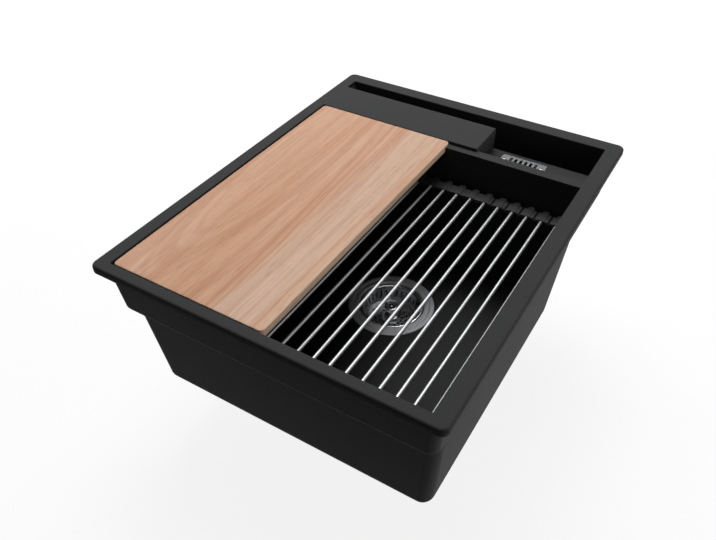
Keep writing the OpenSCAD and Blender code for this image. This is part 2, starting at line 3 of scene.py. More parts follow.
import bmesh
import bpy
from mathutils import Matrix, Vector


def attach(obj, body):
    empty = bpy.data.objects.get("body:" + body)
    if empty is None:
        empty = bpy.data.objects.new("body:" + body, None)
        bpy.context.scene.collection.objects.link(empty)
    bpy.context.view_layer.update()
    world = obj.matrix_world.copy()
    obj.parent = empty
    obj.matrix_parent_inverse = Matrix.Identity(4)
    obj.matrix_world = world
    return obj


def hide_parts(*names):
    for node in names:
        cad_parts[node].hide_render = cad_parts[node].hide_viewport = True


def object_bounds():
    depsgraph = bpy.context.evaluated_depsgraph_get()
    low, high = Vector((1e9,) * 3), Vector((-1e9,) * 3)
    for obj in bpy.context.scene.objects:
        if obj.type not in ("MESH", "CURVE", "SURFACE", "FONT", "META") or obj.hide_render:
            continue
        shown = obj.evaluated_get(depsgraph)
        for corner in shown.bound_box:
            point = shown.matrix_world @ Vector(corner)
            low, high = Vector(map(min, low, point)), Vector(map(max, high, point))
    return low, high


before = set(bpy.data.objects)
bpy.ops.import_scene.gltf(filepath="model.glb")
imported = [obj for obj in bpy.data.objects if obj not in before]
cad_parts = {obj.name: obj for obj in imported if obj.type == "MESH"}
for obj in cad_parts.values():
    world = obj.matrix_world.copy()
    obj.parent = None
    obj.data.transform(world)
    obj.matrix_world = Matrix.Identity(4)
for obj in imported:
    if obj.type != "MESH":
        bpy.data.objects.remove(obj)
cad_box = [list(corner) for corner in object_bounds()]


# ---- Tools --------------------------------------------------------------------------------
# Materials are built by joining Wires in expressions. Shapes are closed solids, made from
# outlines in millimetres from the rim's front left corner and depths below its top.

ARC_STEPS = 8


class Wire:
    """A socket of a node tree that can be used in Python expressions."""

    def __init__(self, tree, socket=None):
        self.tree = tree
        self.socket = socket

    def node(self, kind, settings=None, sockets=None, out=0):
        """A new node, with its settings made first and its sockets given values or links."""
        made = self.tree.nodes.new("ShaderNode" + kind)
        for name, value in (settings or {}).items():
            setattr(made, name, value)
        for name, value in (sockets or {}).items():
            if isinstance(value, Wire):
                self.tree.links.new(value.socket, made.inputs[name])
            else:
                made.inputs[name].default_value = value
        return Wire(self.tree, made.outputs[out]) if made.outputs else None

    def math(self, operation, first, second):
        return self.node("Math", {"operation": operation}, {0: first, 1: second})

    def __add__(self, other):
        return self.math("ADD", self, other)

    def __radd__(self, other):
        return self.math("ADD", other, self)

    def __sub__(self, other):
        return self.math("SUBTRACT", self, other)

    def __rsub__(self, other):
        return self.math("SUBTRACT", other, self)

    def __mul__(self, other):
        return self.math("MULTIPLY", self, other)

    def __rmul__(self, other):
        return self.math("MULTIPLY", other, self)

    def band(self, low, high):
        """0 below low, 1 above high and a smooth slope between."""
        return self.node("MapRange", {"interpolation_type": "SMOOTHSTEP"},
                         {"Value": self, "From Min": low, "From Max": high})

    def blend(self, first, second):
        """A mix of two colours, with this value as the share of the second."""
        first, second = (c if isinstance(c, Wire) else (*c, 1) for c in (first, second))
        return self.node("Mix", {"data_type": "RGBA"}, {0: self, 6: first, 7: second}, out=2)

    def stretched(self, x, y, z):
        """This vector with its axes scaled."""
        return self.node("VectorMath", {"operation": "MULTIPLY"}, {0: self, 1: (x, y, z)})

    def axis(self, axis):
        """One of the three numbers of this vector."""
        return self.node("SeparateXYZ", None, {0: self}, out=axis)

    def from_point(self, point):
        """The way from a point to this place."""
        return self.node("VectorMath", {"operation": "SUBTRACT"}, {0: self, 1: tuple(point)})

    def length(self):
        """The length of this vector."""
        return self.node("VectorMath", {"operation": "LENGTH"}, {0: self}, out="Value")

    def noise_along(self, detail=3):
        """Fractal noise along one line, for this place on it."""
        return self.node("TexNoise", {"noise_dimensions": "1D"},
                         {"W": self, "Scale": 1, "Detail": detail})

    def noise(self, scale, detail=3, roughness=0.5, distortion=0):
        """Fractal noise at this place."""
        return self.node("TexNoise", None,
                         {"Vector": self, "Scale": scale, "Detail": detail,
                          "Roughness": roughness, "Distortion": distortion})


def new_material(name):
    """An empty material and a wire to build it with."""
    material = bpy.data.materials.new(name)
    material.use_nodes = True
    material.node_tree.nodes.clear()
    return material, Wire(material.node_tree)


def surface(name, build):
    """A Principled material. build takes the place on the piece and returns its sockets."""
    material, tree = new_material(name)
    place = tree.node("TexCoord", out="Object")
    sockets = build(place)
    if "bump" in sockets:
        height, distance = sockets.pop("bump")
        sockets["Normal"] = tree.node("Bump", None, {"Strength": 1, "Distance": distance,
                                                     "Height": height})
    shader = tree.node("BsdfPrincipled", None, sockets)
    tree.node("OutputMaterial", None, {"Surface": shader})
    return material


def outline(corners, radius, grow=0):
    """Round-cornered outline of a plan with square turns, moved outward by grow."""
    points = []
    count = len(corners)
    for i in range(count):
        before, here, after = (Vector(corners[(i + k) % count]) for k in (-1, 0, 1))
        along = (here - before).normalized()
        onward = (after - here).normalized()
        turn = along.x * onward.y - along.y * onward.x
        middle = here - along * radius + onward * radius
        arm = max(radius + turn * grow, 0.02)
        for k in range(ARC_STEPS + 1):
            a = math.pi / 2 * k / ARC_STEPS
            points.append(middle + arm * (along * math.sin(a) - onward * math.cos(a)))
    return points


def plan(x0, x1, y0, y1, radius, grow=0):
    """Outline of a rectangle with round corners."""
    return outline([(x0, y0), (x1, y0), (x1, y1), (x0, y1)], radius, grow)


def plan_about(x, y, w, d, radius, grow=0):
    """Outline of a rectangle with round corners, about its middle."""
    return plan(x - w / 2, x + w / 2, y - d / 2, y + d / 2, radius, grow)


def slot_plan(x, y, w, d, grow=0):
    """Outline of a slot with round ends, about its middle."""
    return plan_about(x, y, w, d, min(w, d) / 2 - 0.01, grow)


def disc(x, y, radius, steps=64):
    """Outline of a circle."""
    turns = [2 * math.pi * k / steps for k in range(steps)]
    return [Vector((x + radius * math.cos(a), y + radius * math.sin(a))) for a in turns]


def pick(table, keys):
    """The named values of a table of measures."""
    return [table[key] for key in keys.split()]


def quarter(steps):
    """The sine and the versed sine of the steps of a quarter turn."""
    angles = [math.pi / 2 * k / steps for k in range(steps + 1)]
    return [(math.sin(a), 1 - math.cos(a)) for a in angles]


def eased(points, radius, steps=3):
    """A closed profile with a short curve in place of each corner."""
    result = []
    count = len(points)
    for i in range(count):
        before, here, after = (Vector(points[(i + k) % count]) for k in (-1, 0, 1))
        reach = min(radius, (here - before).length * 0.45, (after - here).length * 0.45)
        start = here + (before - here).normalized() * reach
        end = here + (after - here).normalized() * reach
        for k in range(steps + 1):
            t = k / steps
            result.append((1 - t) ** 2 * start + 2 * t * (1 - t) * here + t ** 2 * end)
    return result


def piece_from(name, shape):
    """An object in the scene from a bmesh, with its faces turned outward."""
    bmesh.ops.recalc_face_normals(shape, faces=shape.faces)
    mesh = bpy.data.meshes.new(name)
    shape.to_mesh(mesh)
    shape.free()
    made = bpy.data.objects.new(name, mesh)
    bpy.context.collection.objects.link(made)
    return made


def solid(name, sections):
    """A closed solid through sections of frame points, each with the same number of points."""
    shape = bmesh.new()
    rings = [[shape.verts.new(point) for point in section] for section in sections]
    count = len(rings[0])
    shape.faces.new(rings[0])
    shape.faces.new(list(reversed(rings[-1])))
    for upper, lower in zip(rings, rings[1:]):
        for i in range(count):
            j = (i + 1) % count
            shape.faces.new((upper[j], upper[i], lower[i], lower[j]))
    return piece_from(name, shape)


def loft(name, levels):
    """A closed solid through outlines, each given with its depth."""
    return solid(name, [[to_frame(p[0], p[1], depth) for p in points]
                        for points, depth in levels])


def prism(name, points, top, bottom):
    """A closed solid with the same outline at two depths."""
    return loft(name, [(points, top), (points, bottom)])


def recess(name, x0, x1, y0, y1, radius, top, depth, fillet):
    """A straight-walled recess with a filleted floor."""
    levels = [(plan(x0, x1, y0, y1, radius), top)]
    levels += [(plan(x0, x1, y0, y1, radius, -versed * fillet),
                depth - fillet + sine * fillet) for sine, versed in quarter(4)]
    return loft(name, levels)


def spindle(name, place, stations, steps=48):
    """A round bar from radii and places along its axis."""
    return solid(name, [[place(r * math.cos(2 * math.pi * k / steps),
                               r * math.sin(2 * math.pi * k / steps), along)
                         for k in range(steps)] for r, along in stations])


def turned(name, profile, place, steps=96, cut=None):
    """A ring turned from a closed profile of radii and places along its axis."""
    shape = bmesh.new()
    rings = []
    for radius, along in profile:
        ring = []
        for k in range(steps):
            share = k / steps
            arm = radius - (cut(radius, along, share) if cut else 0)
            turn = 2 * math.pi * share
            ring.append(shape.verts.new(place(arm * math.cos(turn), arm * math.sin(turn), along)))
        rings.append(ring)
    for i in range(len(rings)):
        here, onward = rings[i - 1], rings[i]
        for k in range(steps):
            j = (k + 1) % steps
            shape.faces.new((here[k], here[j], onward[j], onward[k]))
    return piece_from(name, shape)


def barbed_end(radius, bore, start, end, count, step, slope):
    """Profile of a hose tail from its first barb out to its open end and into its bore."""
    points = []
    for k in range(count):
        foot = start + k * step
        points += [(radius, foot), (radius, foot + 1.4), (radius - 0.9, foot + slope)]
    return points + [(radius - 0.9, end - 0.4), (radius - 1.3, end),
                     (bore + 0.3, end), (bore, end - 0.4)]


def join(piece, others):
    """Adds other solids to a piece."""
    shape = bmesh.new()
    shape.from_mesh(piece.data)
    for other in others:
        shape.from_mesh(other.data)
        bpy.data.objects.remove(other)
    shape.to_mesh(piece.data)
    shape.free()
    return piece


def bake_modifiers(piece):
    """Turns what the piece's modifiers make into its own mesh."""
    graph = bpy.context.evaluated_depsgraph_get()
    mesh = bpy.data.meshes.new_from_object(piece.evaluated_get(graph))
    old = piece.data
    piece.modifiers.clear()
    piece.data = mesh
    bpy.data.meshes.remove(old)


def carve(piece, cutters):
    """Cuts each solid out of the piece and throws it away."""
    for cutter in cutters:
        cut = piece.modifiers.new("cut", "BOOLEAN")
        cut.operation = "DIFFERENCE"
        cut.solver = "EXACT"
        cut.object = cutter
        bake_modifiers(piece)
        bpy.data.objects.remove(cutter)


def smooth(piece, angle):
    """Rounds the shading, apart from edges sharper than an angle, and keeps flat faces flat."""
    for face in piece.data.polygons:
        face.use_smooth = True
    piece.data.set_sharp_from_angle(angle=math.radians(angle))
    level = piece.modifiers.new("level", "WEIGHTED_NORMAL")
    level.keep_sharp = True


def finish_piece(piece, body, material, node, angle=32):
    """Gives a piece its shading, material and body, and hides the CAD node it stands for."""
    smooth(piece, angle)
    piece.data.materials.clear()
    piece.data.materials.append(material)
    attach(piece, body)
    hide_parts(node)


# ---- Studio -------------------------------------------------------------------------------
# A pale floor under the sink, soft lamps above and behind it, and the camera where the
# photograph was taken: in front, to the right and well above, looking down into the bowl.

CAMERA_AT = (0.3186, -0.5861, 0.4753)
CAMERA_TURN = 31.21
CAMERA_DOWN = 40.63
FOCAL_LENGTH = 36.1
SENSOR_WIDTH = 36

camera_data = bpy.data.cameras.new("camera")
camera_data.lens = FOCAL_LENGTH
camera_data.sensor_width = SENSOR_WIDTH
camera_data.clip_start = 0.01
camera = bpy.data.objects.new("camera", camera_data)
camera.location = CAMERA_AT
camera.rotation_euler = (math.radians(90 - CAMERA_DOWN), 0, math.radians(CAMERA_TURN))
bpy.context.collection.objects.link(camera)
bpy.context.scene.camera = camera
bpy.context.scene.view_settings.view_transform = "Standard"

FLOOR_Z = cad_box[0][2] - 0.0005
FLOOR_SIZE = 12
FLOOR_GREY = 0.03
FLOOR_PALE = 0.95
FLOOR_GLOW = 1.03
FLOOR_SHADOW = 0.16
SHADOW_REACH = (0.6, 1.8)


def is_seen(tree):
    """1 where the camera, a reflection or a view through glass looks, and 0 for plain light."""
    camera_ray, glossy_ray, clear_ray = (
        tree.node("LightPath", out=name)
        for name in ("Is Camera Ray", "Is Glossy Ray", "Is Transmission Ray"))
    return tree.math("MAXIMUM", camera_ray, tree.math("MAXIMUM", glossy_ray, clear_ray))


def floor_look(tree):
    """Pale where it is seen, and grey for the light that it throws back. The shadow fades out."""
    plain = tree.node("BsdfDiffuse", None, {"Color": (FLOOR_GREY, FLOOR_GREY, FLOOR_GREY, 1)})
    pale = tree.node("BsdfDiffuse", None, {"Color": (FLOOR_PALE, FLOOR_PALE, FLOOR_PALE, 1)})
    glow = tree.node("Emission", None, {"Color": (1, 1, 1, 1), "Strength": FLOOR_GLOW})
    far = tree.node("TexCoord", out="Object").length().band(*SHADOW_REACH)
    shadow = FLOOR_SHADOW * (1 - far)
    bright = tree.node("MixShader", None, {0: 1 - shadow, 1: pale, 2: glow})
    return tree.node("MixShader", None, {0: is_seen(tree), 1: plain, 2: bright})


floor_mesh = bpy.data.meshes.new("floor")
half = FLOOR_SIZE / 2
floor_mesh.from_pydata([(-half, -half, FLOOR_Z), (half, -half, FLOOR_Z),
                        (half, half, FLOOR_Z), (-half, half, FLOOR_Z)], [], [(0, 1, 2, 3)])
floor_material, floor_tree = new_material("floor")
floor_tree.node("OutputMaterial", None, {"Surface": floor_look(floor_tree)})
floor_mesh.materials.append(floor_material)
floor = bpy.data.objects.new("floor", floor_mesh)
bpy.context.collection.objects.link(floor)

LAMPS = [
    {"name": "lamp_top", "at": (-0.5, 0.9, 1.7), "target": (0, 0, 0),
     "width": 1.4, "height": 1.4, "power": 42},
    {"name": "lamp_right", "at": (1.9, 0.3, 0.28), "target": (0.1, 0, -0.1),
     "width": 1.2, "height": 0.5, "power": 11.5},
    {"name": "lamp_left", "at": (-1.7, 0.5, 1.1), "target": (0, 0, 0),
     "width": 0.9, "height": 0.9, "power": 7},
]
WORLD_LIGHT = 0.02


def softbox(name, at, target, width, height, power):
    """A soft rectangular lamp that faces a point."""
    data = bpy.data.lights.new(name, "AREA")
    data.shape = "RECTANGLE"
    data.size = width
    data.size_y = height
    data.energy = power
    lamp = bpy.data.objects.new(name, data)
    lamp.location = at
    lamp.rotation_euler = (Vector(target) - Vector(at)).to_track_quat("-Z", "Y").to_euler()
    bpy.context.collection.objects.link(lamp)


for lamp in LAMPS:
    softbox(**lamp)

world = bpy.data.worlds.new("studio")
world.use_nodes = True
world.node_tree.nodes.clear()
world_tree = Wire(world.node_tree)
world_glow = world_tree.node("Background", None, {
    "Color": (1, 1, 1, 1), "Strength": WORLD_LIGHT + is_seen(world_tree) * (1 - WORLD_LIGHT)})
world_tree.node("OutputWorld", None, {"Surface": world_glow})
bpy.context.scene.world = world


# ---- Basin --------------------------------------------------------------------------------
# One moulding of quartz-filled resin, cast as a thick shell: the rim, an upper band, the
# lower bowl, and behind it a closed deck, a soap tray and a long narrow channel. The mould
# leaves soft corners, leaning walls and a fine even grain. It hangs by its rim in the worktop.

RIM = {"w": 400, "d": 510, "t": 9, "corner": 9, "edge": 3}
MOUTH = {"left": 17, "right": 380.5, "front": 13.5, "back": 488.5, "corner": 4}
DECK = {"front": 407, "back": 468, "end": 244, "corner": 1.6}
DIVIDER = {"front": 396.5, "back": 409.5, "depth": 4}
BOARD_LEDGE = {"left": 24, "front": 18, "depth": 10.3, "corner": 6}
RACK_LEDGE = {"left": 36, "right_step": 1, "front": 29, "back": 371, "depth": 52}
BAND = {"left": 14, "right": 8, "front": 7, "back": 8, "corner": 12, "depth": 59, "edge": 5}
LOWER = {"left": 27, "front": 20, "back": 130, "corner": 14, "depth": 180}
FLOOR_DEPTH = 172
DRAFT = 0.083
FRONT_DRAFT = 0.118
BAND_DRAFT = 0.1
TRAY_DEPTH = 30
CHANNEL_DEPTH = 49
CHANNEL_STEP = {"lean": 1, "in": 8, "depth": 9}
UNDER_DECK = {"left": 25, "right": 238, "front": 405.5, "back": 462, "roof": 11}
UNDER_TRAY = {"left": 250, "right": 381, "front": 415.5, "back": 462, "roof": 39}
TAP_HOLE = {"x": 130.5, "y": 437.5, "r": 17.5, "skin": 4}
SOFT_EDGE = 1.2
LEDGE_EDGE = 1.6
WASTE_AT = (205, 270)
WASTE_HOLE = 45
FLANGE_SEAT = {"r": 56.8, "depth": 174.6, "edge": 0.8}
GRILLE_AT = (291, 451.5)
GRILLE_SEAT = {"w": 60.6, "d": 23.6, "depth": 31.2}
OVERFLOW_SLOT = {"w": 34, "d": 13}


def to_frame(x, y, depth):
    """From millimetres at the rim's front left corner to metres in the frame."""
    return Vector((x - RIM["w"] / 2, y - RIM["d"] / 2, RIM["t"] - depth)) / 1000


def basin_levels():
    """Outside of the moulding, from the rim's top face down to the bowl's underside."""
    sides = (0, RIM["w"], 0, RIM["d"], RIM["corner"])
    edge = RIM["edge"]
    levels = [(plan(*sides, (sine - 1) * edge), versed * edge) for sine, versed in quarter(5)]
    levels += [(plan(*sides, -versed), RIM["t"] - 1 + sine) for sine, versed in quarter(2)]
    straight = BAND["depth"] - BAND["edge"]
    steps = [(0, RIM["t"])]
    steps += [((straight - RIM["t"]) * BAND_DRAFT + versed * BAND["edge"],
               straight + sine * BAND["edge"]) for sine, versed in quarter(5)]
    for inset, depth in steps:
        right = BAND["right"] + (depth - RIM["t"]) * DRAFT
        levels.append((plan(BAND["left"] + inset, RIM["w"] - right, BAND["front"] + inset,
                            RIM["d"] - BAND["back"] - inset, BAND["corner"]), depth))
    low_straight = LOWER["depth"] - LOWER["corner"]
    steps = [(0, BAND["depth"])]
    steps += [(versed * LOWER["corner"], low_straight + sine * LOWER["corner"])
              for sine, versed in quarter(8)]
    for inset, depth in steps:
        drop = min(depth, low_straight) - BAND["depth"]
        right = BAND["right"] + (min(depth, low_straight) - RIM["t"]) * DRAFT
        levels.append((plan(LOWER["left"] + drop * DRAFT, RIM["w"] - right,
                            LOWER["front"] + drop * FRONT_DRAFT,
                            RIM["d"] - LOWER["back"] - drop * DRAFT,
                            LOWER["corner"], -inset), depth))
    return levels


def mouth_cutter():
    """The opening in the rim: bowl, tray and channel round three sides of the deck."""
    corners = [(MOUTH["left"], MOUTH["front"]), (MOUTH["right"], MOUTH["front"]),
               (MOUTH["right"], MOUTH["back"]), (MOUTH["left"], MOUTH["back"]),
               (MOUTH["left"], DECK["back"]), (DECK["end"], DECK["back"]),
               (DECK["end"], DECK["front"]), (MOUTH["left"], DECK["front"])]
    levels = [(outline(corners, DECK["corner"], SOFT_EDGE), -1)]
    for sine, versed in quarter(4):
        levels.append((outline(corners, DECK["corner"], SOFT_EDGE * (1 - sine)),
                       SOFT_EDGE * versed))
    levels.append((outline(corners, DECK["corner"]), DIVIDER["depth"]))
    return loft("mouth", levels)


def upper_bowl_cutter():
    """The bowl above the rack's ledge, with its top edge eased along the board's ledge."""
    edge = SOFT_EDGE
    top = BOARD_LEDGE["depth"]
    levels = []
    for inset, depth in [(0, 2)] + [(sine * edge, top + versed * edge)
                                    for sine, versed in quarter(3)]:
        levels.append((plan(BOARD_LEDGE["left"] - edge + inset, MOUTH["right"],
                            BOARD_LEDGE["front"] - edge + inset, DIVIDER["front"],
                            BOARD_LEDGE["corner"]), depth))
    lean = (RACK_LEDGE["depth"] - top) * DRAFT
    levels.append((plan(BOARD_LEDGE["left"] + lean, MOUTH["right"] - lean,
                        BOARD_LEDGE["front"] + lean, DIVIDER["front"] - lean,
                        BOARD_LEDGE["corner"]), RACK_LEDGE["depth"]))
    return loft("upper_bowl", levels)


def lower_bowl_cutter():
    """The bowl below the rack's ledge, with an eased top edge and a round floor edge."""
    edge = LEDGE_EDGE
    top = RACK_LEDGE["depth"]
    right = (MOUTH["right"] - (top - BOARD_LEDGE["depth"]) * DRAFT
             - RACK_LEDGE["right_step"])
    steps = [(0, edge, top - 3)]
    steps += [(0, edge * (1 - sine), top + edge * versed) for sine, versed in quarter(3)]
    straight = FLOOR_DEPTH - LOWER["corner"]
    steps += [(straight - top, -versed * (LOWER["corner"] - 0.5),
               straight + sine * LOWER["corner"]) for sine, versed in quarter(8)]
    levels = []
    for drop, grow, depth in steps:
        levels.append((plan(RACK_LEDGE["left"] + drop * DRAFT, right - drop * DRAFT,
                            RACK_LEDGE["front"] + drop * FRONT_DRAFT,
                            RACK_LEDGE["back"] - drop * DRAFT, LOWER["corner"], grow), depth))
    return loft("lower_bowl", levels)


def waste_cutter():
    """The stepped hole for the waste in the bowl's floor."""
    x, y = WASTE_AT
    radius, seat, edge = pick(FLANGE_SEAT, "r depth edge")
    steps = [(radius + 1, FLOOR_DEPTH - 5), (radius + 1, FLOOR_DEPTH),
             (radius, FLOOR_DEPTH + edge), (radius, seat), (WASTE_HOLE, seat),
             (WASTE_HOLE, LOWER["depth"] + 3)]
    return loft("waste_hole", [(disc(x, y, r), depth) for r, depth in steps])


def underside_pocket(name, pocket):
    """A hollow under the deck or the tray, open below and with eased edges."""
    roof, mouth = pocket["roof"], BAND["depth"]
    sides = pick(pocket, "left right front back")
    steps = [(-2, roof), (-0.6, roof + 0.6), (0, roof + 2), (0, mouth - 1.5),
             (0.4, mouth - 0.4), (1.5, mouth), (1.5, mouth + 2)]
    return loft(name, [(plan(*sides, MOUTH["corner"], grow), depth) for grow, depth in steps])


def soft_plan(w, d, shift=0, grow=0):
    """Outline of a plate with small round corners, at the overflow's grille."""
    x, y = GRILLE_AT
    return plan_about(x, y - shift, w, d, 3, grow)


def overflow_slot(name, top, bottom, narrower=0):
    """A cutter for the overflow's slot between two depths."""
    return prism(name, slot_plan(*GRILLE_AT, OVERFLOW_SLOT["w"], OVERFLOW_SLOT["d"] - narrower),
                 top, bottom)


def composite_look(place):
    """Matt charcoal with a fine mineral grain and a faint cloudiness."""
    cloud = place.noise(9, 4, 0.6)
    grain = place.noise(1500, 2, 0.6)
    fleck = place.noise(900, 1, 0.4).band(0.66, 0.74)
    base = cloud.blend((0.036, 0.0365, 0.0375), (0.045, 0.0455, 0.0465))
    color = (grain.band(0.35, 0.75) * 0.45).blend(base, (0.062, 0.0625, 0.064))
    color = (fleck * 0.3).blend(color, (0.11, 0.112, 0.116))
    return {"Base Color": color, "Roughness": 0.52 + grain * 0.16 - cloud * 0.04,
            "Specular IOR Level": 0.03,
            "bump": (grain * 0.7 + place.noise(420, 2) * 0.3, 0.00012)}


basin = loft("basin", basin_levels())
channel = [(plan(MOUTH["left"] + inset, MOUTH["right"], DECK["back"], MOUTH["back"],
                 DECK["corner"]), depth)
           for inset, depth in ((0, 2), (CHANNEL_STEP["lean"], CHANNEL_STEP["depth"]),
                                (CHANNEL_STEP["in"], CHANNEL_DEPTH))]
carve(basin, [
    mouth_cutter(),
    recess("board_recess", MOUTH["left"], MOUTH["right"], MOUTH["front"], DIVIDER["front"],
           DECK["corner"], 2, BOARD_LEDGE["depth"], 0.8),
    upper_bowl_cutter(),
    lower_bowl_cutter(),
    recess("tray", DECK["end"], MOUTH["right"], DIVIDER["back"], MOUTH["back"],
           DECK["corner"], 2, TRAY_DEPTH, 1.5),
    loft("channel", channel),
    underside_pocket("under_deck", UNDER_DECK),
    underside_pocket("under_tray", UNDER_TRAY),
    prism("tap_hole", disc(TAP_HOLE["x"], TAP_HOLE["y"], TAP_HOLE["r"]),
          TAP_HOLE["skin"], UNDER_DECK["roof"] + 2),
    waste_cutter(),
    prism("grille_seat", soft_plan(GRILLE_SEAT["w"], GRILLE_SEAT["d"]),
          TRAY_DEPTH - 2, GRILLE_SEAT["depth"]),
    overflow_slot("overflow_slot", TRAY_DEPTH - 1, UNDER_TRAY["roof"] + 2),
])
composite = surface("composite", composite_look)
finish_piece(basin, "basin", composite, "basin")


# ---- Waste --------------------------------------------------------------------------------
# A pressed steel flange with a deep dish sits on a rubber gasket in the bowl's floor. One
# screw through the dish pulls a black plastic body up against a rubber seal underneath. The
# body has a threaded outlet below and a tail behind for the overflow hose.

FLANGE = {"r": 56, "groove": 48.4, "top": 172, "under": 173.6}
DISH = {"r": 41.3, "sheet": 1.2, "floor": 197.6, "throat": 27}
GASKET = {"in": 46, "out": 55.5, "t": 1}
BOWL_SEAL = {"in": 46, "out": 55, "waist": 0.4}
CUP = {"in": 46, "out": 49, "brim": 56, "top": 182, "bottom": 212, "lip": 4}
OUTLET = {"r": 23.9, "in": 19.9, "top": 228, "bottom": 256, "pitch": 2.3, "thread": 0.9}
TAIL = {"r": 10, "in": 7.8, "collar": 11.5, "depth": 198, "reach": 62, "length": 24}
HUB = {"r": 8, "top": 198.8, "bottom": 212.8}
HUB_DISC = 9
SPOKES = {"count": 6, "start": 7, "w": 5}
RIBS = {"turns": (90, 210, 330), "w": 3}
GUSSETS = {"count": 16, "tail": 90, "clear": 20}
BOLT = {"r": 3, "head": 6, "head_t": 3, "slot_l": 14, "slot_w": 1.4, "slot_depth": 1.2}


def about_waste(x, y, depth):
    """A place about the waste's upright centre line."""
    return to_frame(WASTE_AT[0] + x, WASTE_AT[1] + y, depth)


def about_tail(x, z, y):
    """A place about the level centre line of the waste's hose tail."""
    return to_frame(WASTE_AT[0] + x, WASTE_AT[1] + y, TAIL["depth"] + z)


def spoke(name, turn, inner, outer, width, top, bottom):
    """A straight bar that runs out from the waste's centre line."""
    along = Vector((math.cos(turn), math.sin(turn)))
    side = Vector((-along.y, along.x)) * width / 2
    corners = [along * inner - side, along * outer - side,
               along * outer + side, along * inner + side]
    edges = [(0.4, top), (0, top + 0.4), (0, bottom - 0.4), (0.4, bottom)]
    return solid(name, [[about_waste(*(c - side.normalized() * inset * (1 if k > 1 else -1)), d)
                         for k, c in enumerate(corners)] for inset, d in edges])


def steel_look(place, centre, brush, base, rough):
    """Stainless steel, with its brush marks as rings about a centre or along an axis."""
    if centre is None:
        marks = place.stretched(*brush).noise(1, 2, 0.6)
    else:
        marks = (place.from_point(centre).stretched(1, 1, 0).length() * brush).noise_along()
    stain = place.noise(60, 3, 0.6)
    color = (marks.band(0.3, 0.7) * 0.5 + stain.band(0.4, 0.7) * 0.3).blend(
        base, tuple(0.8 * c for c in base))
    return {"Base Color": color, "Metallic": 1.0, "Roughness": rough + marks * 0.12 + stain * 0.08,
            "bump": (marks, 0.00004)}


def rubber_look(place):
    """Black moulded rubber, dull and slightly dusty."""
    dust = place.noise(120, 4, 0.65)
    color = dust.band(0.45, 0.8).blend((0.012, 0.012, 0.013), (0.028, 0.027, 0.026))
    return {"Base Color": color, "Roughness": 0.62 + dust * 0.2,
            "bump": (place.noise(900, 2), 0.00006)}


def plastic_look(place):
    """Black moulded plastic with a faint flow pattern and a fine spark-eroded grain."""
    flow = place.stretched(1, 1, 0.3).noise(40, 3, 0.6, 0.8)
    grain = place.noise(1400, 2, 0.6)
    color = flow.band(0.3, 0.7).blend((0.016, 0.0165, 0.018), (0.024, 0.0245, 0.027))
    return {"Base Color": color, "Roughness": 0.36 + grain * 0.14 + flow * 0.06,
            "bump": (grain, 0.00005)}


def ringed_steel(name, brush, base, rough):
    """Steel with its brush marks as rings about the waste's centre line."""
    centre = to_frame(*WASTE_AT, 0)
    return surface(name, lambda place: steel_look(place, centre, brush, base, rough))


waste_steel = ringed_steel("waste_steel", 5200, (0.36, 0.365, 0.375), 0.48)
rubber = surface("seal_rubber", rubber_look)
plastic = surface("waste_plastic", plastic_look)

rim, groove, top, under = pick(FLANGE, "r groove top under")
wall, sheet, low, throat = pick(DISH, "r sheet floor throat")
waste_flange = turned("waste_flange", eased([
    (wall, top + 1.6), (wall + 0.5, top + 0.6), (wall + 1.7, top), (groove, top),
    (groove + 0.4, top + 0.35), (groove + 1.2, top + 0.35), (groove + 1.6, top),
    (rim - 1.2, top), (rim, top + 0.9), (rim, under), (wall + sheet, under),
    (wall + sheet, low - 1), (wall - 1, low + sheet), (throat, low + sheet), (throat, low),
    (wall - 2, low), (wall, low - 2)], 0.4), about_waste, 128)
join(waste_flange, [spoke("spoke", math.radians(360 / SPOKES["count"] * k), SPOKES["start"],
                          throat + 1, SPOKES["w"], low, low + sheet)
                    for k in range(SPOKES["count"])])
join(waste_flange, [spindle("hub_disc", about_waste, [
    (HUB_DISC - 0.6, low), (HUB_DISC, low + 0.4), (HUB_DISC, low + sheet)])])
finish_piece(waste_flange, "basin", waste_steel, "waste_flange")

inner, outer = pick(GASKET, "in out")
top, low = under, under + GASKET["t"]
flange_gasket = turned("flange_gasket", eased([
    (inner, top), (outer, top), (outer, low), (inner, low)], 0.3), about_waste)
finish_piece(flange_gasket, "basin", rubber, "flange_gasket")

inner, outer, waist = pick(BOWL_SEAL, "in out waist")
top, low = LOWER["depth"], CUP["top"]
middle = (top + low) / 2
bowl_seal = turned("bowl_seal", eased([
    (inner, top), (outer, top), (outer - waist, middle), (outer, low), (inner, low),
    (inner + 0.5, middle)], 0.35), about_waste)
finish_piece(bowl_seal, "basin", rubber, "bowl_seal")


def thread(radius, depth, share):
    """How deep the outlet's thread cuts at a place."""
    start, end = OUTLET["top"] + 3, OUTLET["bottom"] - 1.5
    if radius < OUTLET["r"] - 0.01 or not start < depth < end:
        return 0
    phase = (depth / OUTLET["pitch"] + share) % 1
    fade = min(1, (depth - start) / 1.5, (end - depth) / 1.5)
    return OUTLET["thread"] * fade * min(1, 1.25 * abs(2 * phase - 1))


